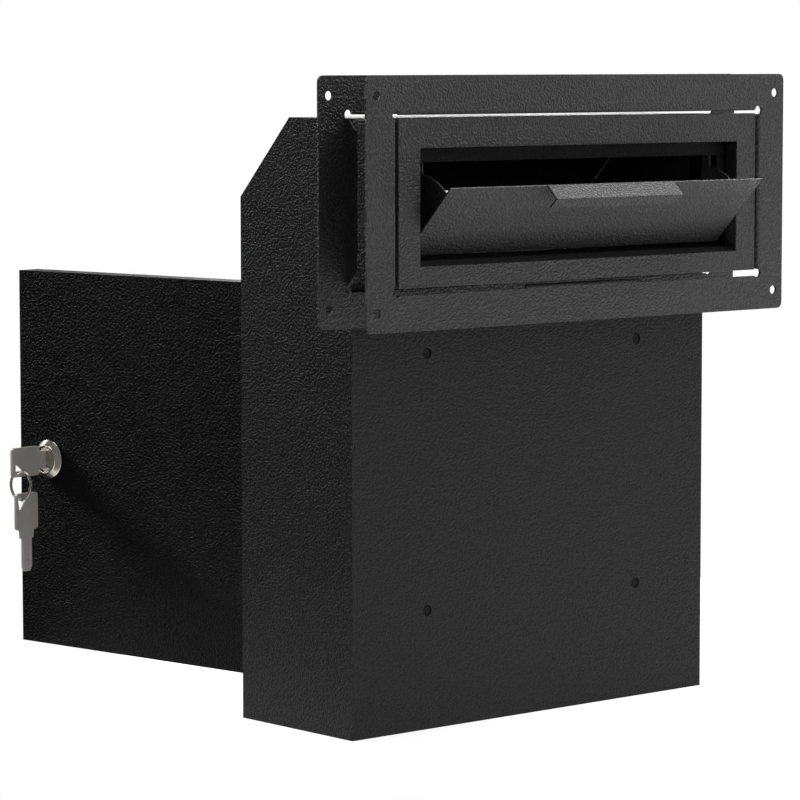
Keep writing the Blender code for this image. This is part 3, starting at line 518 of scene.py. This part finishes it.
def reach(node, axis):
    # middle of a node, and how far it spans along and across an axis through its middle
    points = np.empty(len(nodes[node].data.vertices) * 3)
    nodes[node].data.vertices.foreach_get("co", points)
    points = points.reshape(-1, 3)
    axis = np.array(Vector(axis).normalized())
    along = points @ axis
    middle = (points.max(axis=0) + points.min(axis=0)) / 2
    middle = middle - axis * (middle @ axis)
    across = np.linalg.norm(points - middle - along[:, None] * axis, axis=1).max()
    return middle, along.min(), along.max(), across


housingLook = {"face": 0.0026, "rim": 0.0099, "flange": 0.0132, "seat": -0.0021,
               "barrel": 0.0093, "end": -0.0206, "mouth": 0.0085, "bore": 0.0067,
               "step": -0.0006, "edge": 0.00035, "lipWide": 0.0003,
               "lipHigh": 0.0006, "flangeHigh": 0.0010}


def makeHousing(look):
    # conical flange with a raised lip round the mouth, then the barrel and its stepped bore
    lock = joints["lock_turn"]
    outward = -np.array(lock["axis"])
    profile = [(look["mouth"], look["face"]), (look["rim"], look["face"]),
               (look["rim"] + look["lipWide"], look["face"] - look["lipHigh"]),
               (look["flange"], look["seat"] + look["flangeHigh"]), (look["flange"], look["seat"]),
               (look["barrel"], look["seat"]), (look["barrel"], look["end"]),
               (look["bore"], look["end"]), (look["bore"], look["step"]),
               (look["mouth"], look["step"])]
    turnedPiece("lock_housing", nickelFinish, lock["pos_m"], outward, profile, look["edge"], True)


rivetLook = {"crown": 0.0012, "crownStart": 0.08, "crownSteps": 7, "neck": 0.55,
             "backHigh": 0.0008, "backWide": 0.8, "tipWide": 0.68, "tipHigh": 0.0001,
             "tipFlat": 0.2, "edge": 0.00012}


def makeRivet(node, axis, look):
    # low dome on the showing side, neck through the sheet, small set head behind
    middle, low, high, wide = reach(node, axis)
    crown = look["crown"]
    dome = [(wide * math.sin(a), high - crown + crown * math.cos(a))
            for a in np.linspace(look["crownStart"], math.pi / 2, look["crownSteps"])]
    neck, back = wide * look["neck"], low + look["backHigh"]
    profile = dome + [(neck, high - crown), (neck, back), (wide * look["backWide"], back),
                      (wide * look["tipWide"], low + look["tipHigh"]),
                      (wide * look["tipFlat"], low)]
    turnedPiece(node, zincFinish, middle, axis, profile, look["edge"])


makeHousing(housingLook)
doorNormal = -np.array(joints["lock_turn"]["axis"])
for number in range(1, 5):
    makeRivet("frame_rivet_" + str(number), (0, 1, 0), rivetLook)
    makeRivet("door_rivet_" + str(number), doorNormal, rivetLook)


pinLook = {"neck": 0.0011, "head": 0.0019, "headHigh": 0.0011, "crown": 0.0004,
           "shoulder": 0.7, "shoulderHigh": 0.0002, "sideHigh": 0.0006, "chamfer": 0.0006,
           "tip": 0.6, "edge": 0.0001}


def makeHingePin(node, look):
    # crowned head on a straight pin that ends in a chamfer
    middle, low, high, wide = reach(node, (0, 0, 1))
    head, neck = look["head"], look["neck"]
    profile = [(look["crown"], high), (head * look["shoulder"], high - look["shoulderHigh"]),
               (head, high - look["sideHigh"]), (head, high - look["headHigh"]),
               (neck, high - look["headHigh"]), (neck, low + look["chamfer"]),
               (neck * look["tip"], low)]
    turnedPiece(node, zincFinish, middle, (0, 0, 1), profile, look["edge"])


pivotLook = {"crown": 0.0006, "dome": ((0.6, 0.0002), (0.9, 0.0008)), "headHigh": 0.0014,
             "neck": 0.0024, "inner": 0.001, "edge": 0.00012}


def makePivotPin(node, side, look):
    # domed head outside the bracket, neck through bracket and cheek, flat head inside
    middle, low, high, wide = reach(node, (side, 0, 0))
    under, inner = high - look["headHigh"], low + look["inner"]
    dome = [(wide * share, high - drop) for share, drop in look["dome"]]
    profile = [(look["crown"], high), *dome, (wide, under), (look["neck"], under),
               (look["neck"], inner), (wide, inner), (wide, low), (look["crown"], low)]
    turnedPiece(node, zincFinish, middle, (side, 0, 0), profile, look["edge"])


for level in ("lower", "upper"):
    makeHingePin(level + "_hinge_pin", pinLook)
makePivotPin("left_pivot_pin", -1, pivotLook)
makePivotPin("right_pivot_pin", 1, pivotLook)


# split key ring

ringLook = {"turns": 2, "steps": 220, "radius": 0.0096, "wide": 0.0008, "thick": 0.00042,
            "pitch": 0.0009, "around": 12, "ends": 0.0006, "least": 0.02}


def makeRing(look):
    # flattened wire along a two-turn helix about the ring's axis; each end is rounded off
    swing = joints["ring_swing"]
    across = np.array(swing["axis"])
    up = np.array((0.0, 0.0, 1.0))
    normal = np.cross(up, across)
    centre = np.array(swing["pos_m"]) - up * look["radius"]
    length = 2 * math.pi * look["radius"] * look["turns"]
    t = np.linspace(0, 1, look["steps"])[:, None, None]
    turn = 2 * math.pi * look["turns"] * t
    way = np.cos(turn) * -across + np.sin(turn) * up
    left = np.minimum(t, 1 - t) * length
    shrink = np.sqrt(np.clip(left / look["ends"], look["least"], 1.0))
    lift = normal * look["pitch"] * look["turns"] * (t - 0.5)
    section = np.linspace(0, 2 * math.pi, look["around"], endpoint=False)[:, None]
    rings = (centre + lift + way * (look["radius"] + look["wide"] * shrink * np.cos(section))
             + normal * look["thick"] * shrink * np.sin(section))
    piece = gridPiece("splitRing", rings, nickelFinish, True)
    attach(piece, "key_ring")


makeRing(ringLook)
print("pieces ready")
